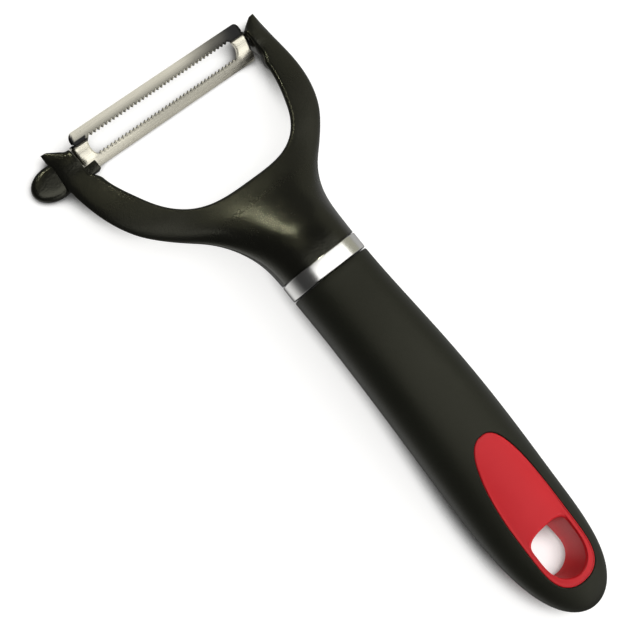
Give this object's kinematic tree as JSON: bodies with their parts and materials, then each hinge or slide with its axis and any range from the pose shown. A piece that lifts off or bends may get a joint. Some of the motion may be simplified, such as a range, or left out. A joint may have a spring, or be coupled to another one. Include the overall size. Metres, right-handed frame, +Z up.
{
  "type": "y peeler",
  "caption": "Hand-held Y-shaped vegetable peeler: forked head with a swivelling slotted toothed blade, steel collar and an oval grip with a hang hole.",
  "frame": {"origin": "centre of the bounding box in X and Y, at the surface the peeler lies on", "axes": "+Y towards the head and its blade, +X to the right of the head seen from above, +Z up when the peeler lies on its back"},
  "size_m": [0.0838, 0.1844, 0.0235],
  "materials": {
    "moulded_black": "satin moulded",
    "soft_black": "matte soft touch",
    "red_plastic": "semi-gloss moulded",
    "stainless": "polished to fine brushed",
    "core_plastic": "plain moulded"
  },
  "bodies": {
    "handle": {"head_yoke": "moulded_black", "pivot_pin_left": "stainless", "pivot_pin_right": "stainless", "collar": "stainless", "handle_grip": "soft_black", "hang_insert": "red_plastic", "handle_core": "core_plastic", "tang_pin": "stainless"},
    "blade": {"blade": "stainless"}
  },
  "joints": [
    {"name": "blade_swivel", "type": "hinge", "parent": "handle", "child": "blade", "pos_m": [0.00403, 0.08686, 0.00265], "axis": [1, 0, 0], "range_deg": [-27, 0]}
  ]
}
